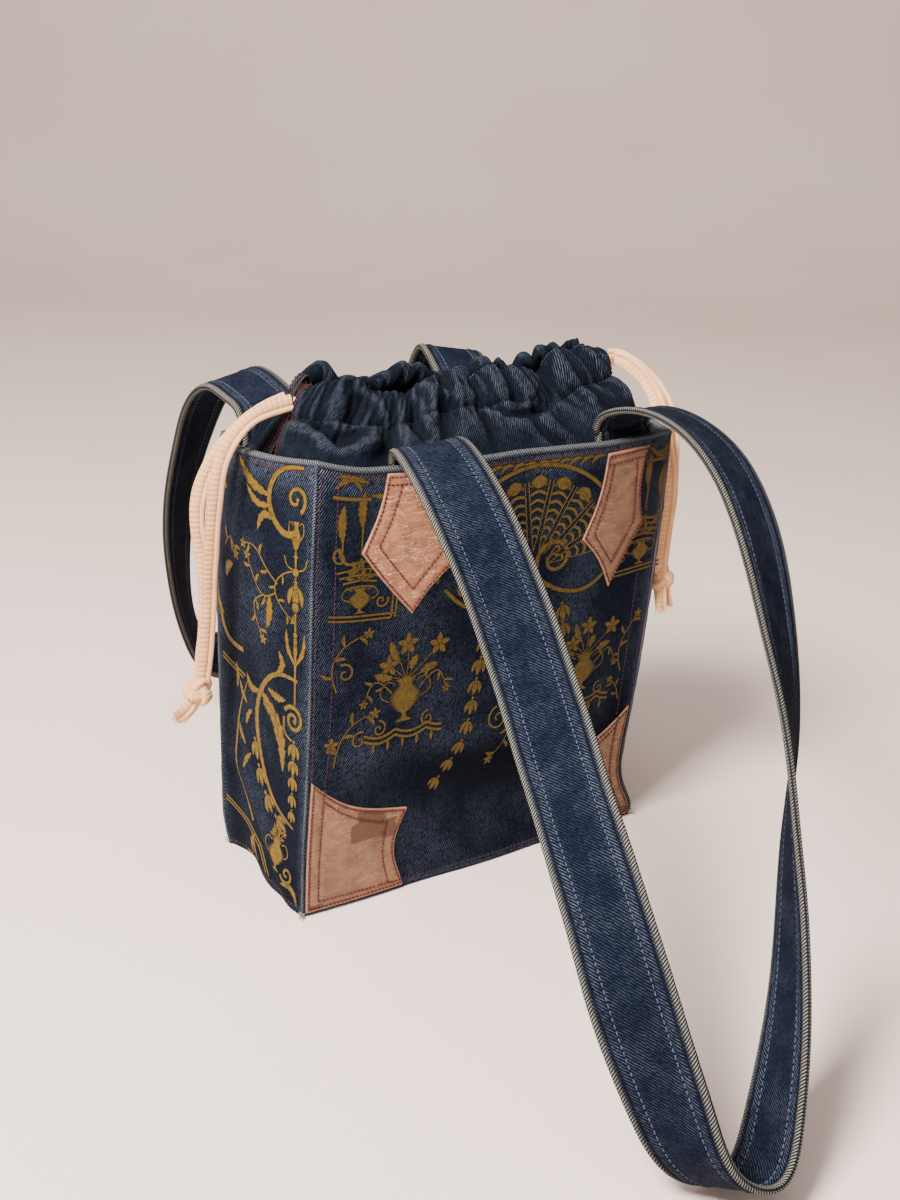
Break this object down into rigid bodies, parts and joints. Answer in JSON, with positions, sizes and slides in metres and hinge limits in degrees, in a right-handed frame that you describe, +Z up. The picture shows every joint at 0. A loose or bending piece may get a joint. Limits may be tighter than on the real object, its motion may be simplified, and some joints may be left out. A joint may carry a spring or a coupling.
{
  "type": "drawstring bag",
  "caption": "Denim drawstring box bag with gathered collar, braided drawcords, leather patches and long shoulder straps.",
  "frame": {"origin": "centre of the base's underside, on the surface that the bag stands on", "axes": "+X along the bag's width, to the right of a person facing the front panel; +Y to the back; +Z up"},
  "size_m": [0.3068, 0.6755, 0.308],
  "materials": {
    "body_denim": "dark indigo denim with a worn printed ornament",
    "strap_denim": "mid indigo denim, two plies, topstitched",
    "collar_denim": "washed indigo denim, gathered",
    "lining_cloth": "plain dark cotton",
    "leather": "dusty pink, crackled",
    "braided_cord": "pale peach flat braid"
  },
  "bodies": {
    "bag": {"back_panel": "body_denim", "back_strap_end_left": "strap_denim", "back_strap_end_right": "strap_denim", "base_panel": "body_denim", "corner_patch_back_left": "leather", "corner_patch_back_right": "leather", "corner_patch_front_left": "leather", "corner_patch_front_right": "leather", "front_panel": "body_denim", "front_strap_end_left": "strap_denim", "front_strap_end_right": "strap_denim", "left_gusset": "body_denim", "lining": "lining_cloth", "right_gusset": "body_denim", "rim_facing": "body_denim", "strap_patch_back_left": "leather", "strap_patch_back_right": "leather", "strap_patch_front_left": "leather", "strap_patch_front_right": "leather"},
    "collar_front": {"collar_front": "collar_denim", "casing_front": "collar_denim", "left_drawcord_front_run": "braided_cord", "right_drawcord_front_run": "braided_cord"},
    "collar_back": {"collar_back": "collar_denim", "casing_back": "collar_denim", "left_drawcord_back_run": "braided_cord", "right_drawcord_back_run": "braided_cord"},
    "front_strap": {"front_strap_face": "strap_denim", "front_strap_backing": "strap_denim"},
    "back_strap": {"back_strap_face": "strap_denim", "back_strap_backing": "strap_denim"},
    "left_drawcord": {"left_drawcord_ends": "braided_cord", "left_drawcord_knot": "braided_cord", "left_drawcord_tail_a": "braided_cord", "left_drawcord_tail_b": "braided_cord"},
    "right_drawcord": {"right_drawcord_ends": "braided_cord", "right_drawcord_knot": "braided_cord", "right_drawcord_tail_a": "braided_cord", "right_drawcord_tail_b": "braided_cord"}
  },
  "joints": [
    {"name": "collar_open", "type": "hinge", "parent": "bag", "child": "collar_front", "pos_m": [0, -0.05, 0.258], "axis": [-1, 0, 0], "range_deg": [-28, 0]},
    {"name": "collar_back_open", "type": "hinge", "parent": "bag", "child": "collar_back", "pos_m": [0, 0.0452, 0.258], "axis": [1, 0, 0], "range_deg": [-28, 0]},
    {"name": "front_strap_swing", "type": "hinge", "parent": "bag", "child": "front_strap", "pos_m": [0.02, -0.053, 0.27], "axis": [-1, 0, 0], "range_deg": [0, 100]},
    {"name": "back_strap_swing", "type": "hinge", "parent": "bag", "child": "back_strap", "pos_m": [-0.02, 0.048, 0.27], "axis": [1, 0, 0], "range_deg": [0, 100]},
    {"name": "left_drawcord_swing", "type": "hinge", "parent": "bag", "child": "left_drawcord", "pos_m": [-0.099, 0, 0.293], "axis": [0, 1, 0], "range_deg": [0, 75]},
    {"name": "right_drawcord_swing", "type": "hinge", "parent": "bag", "child": "right_drawcord", "pos_m": [0.1185, 0, 0.294], "axis": [0, -1, 0], "range_deg": [0, 75]}
  ],
  "couplings": [
    {"joint": "collar_back_open", "follows": "collar_open", "ratio": 1}
  ]
}
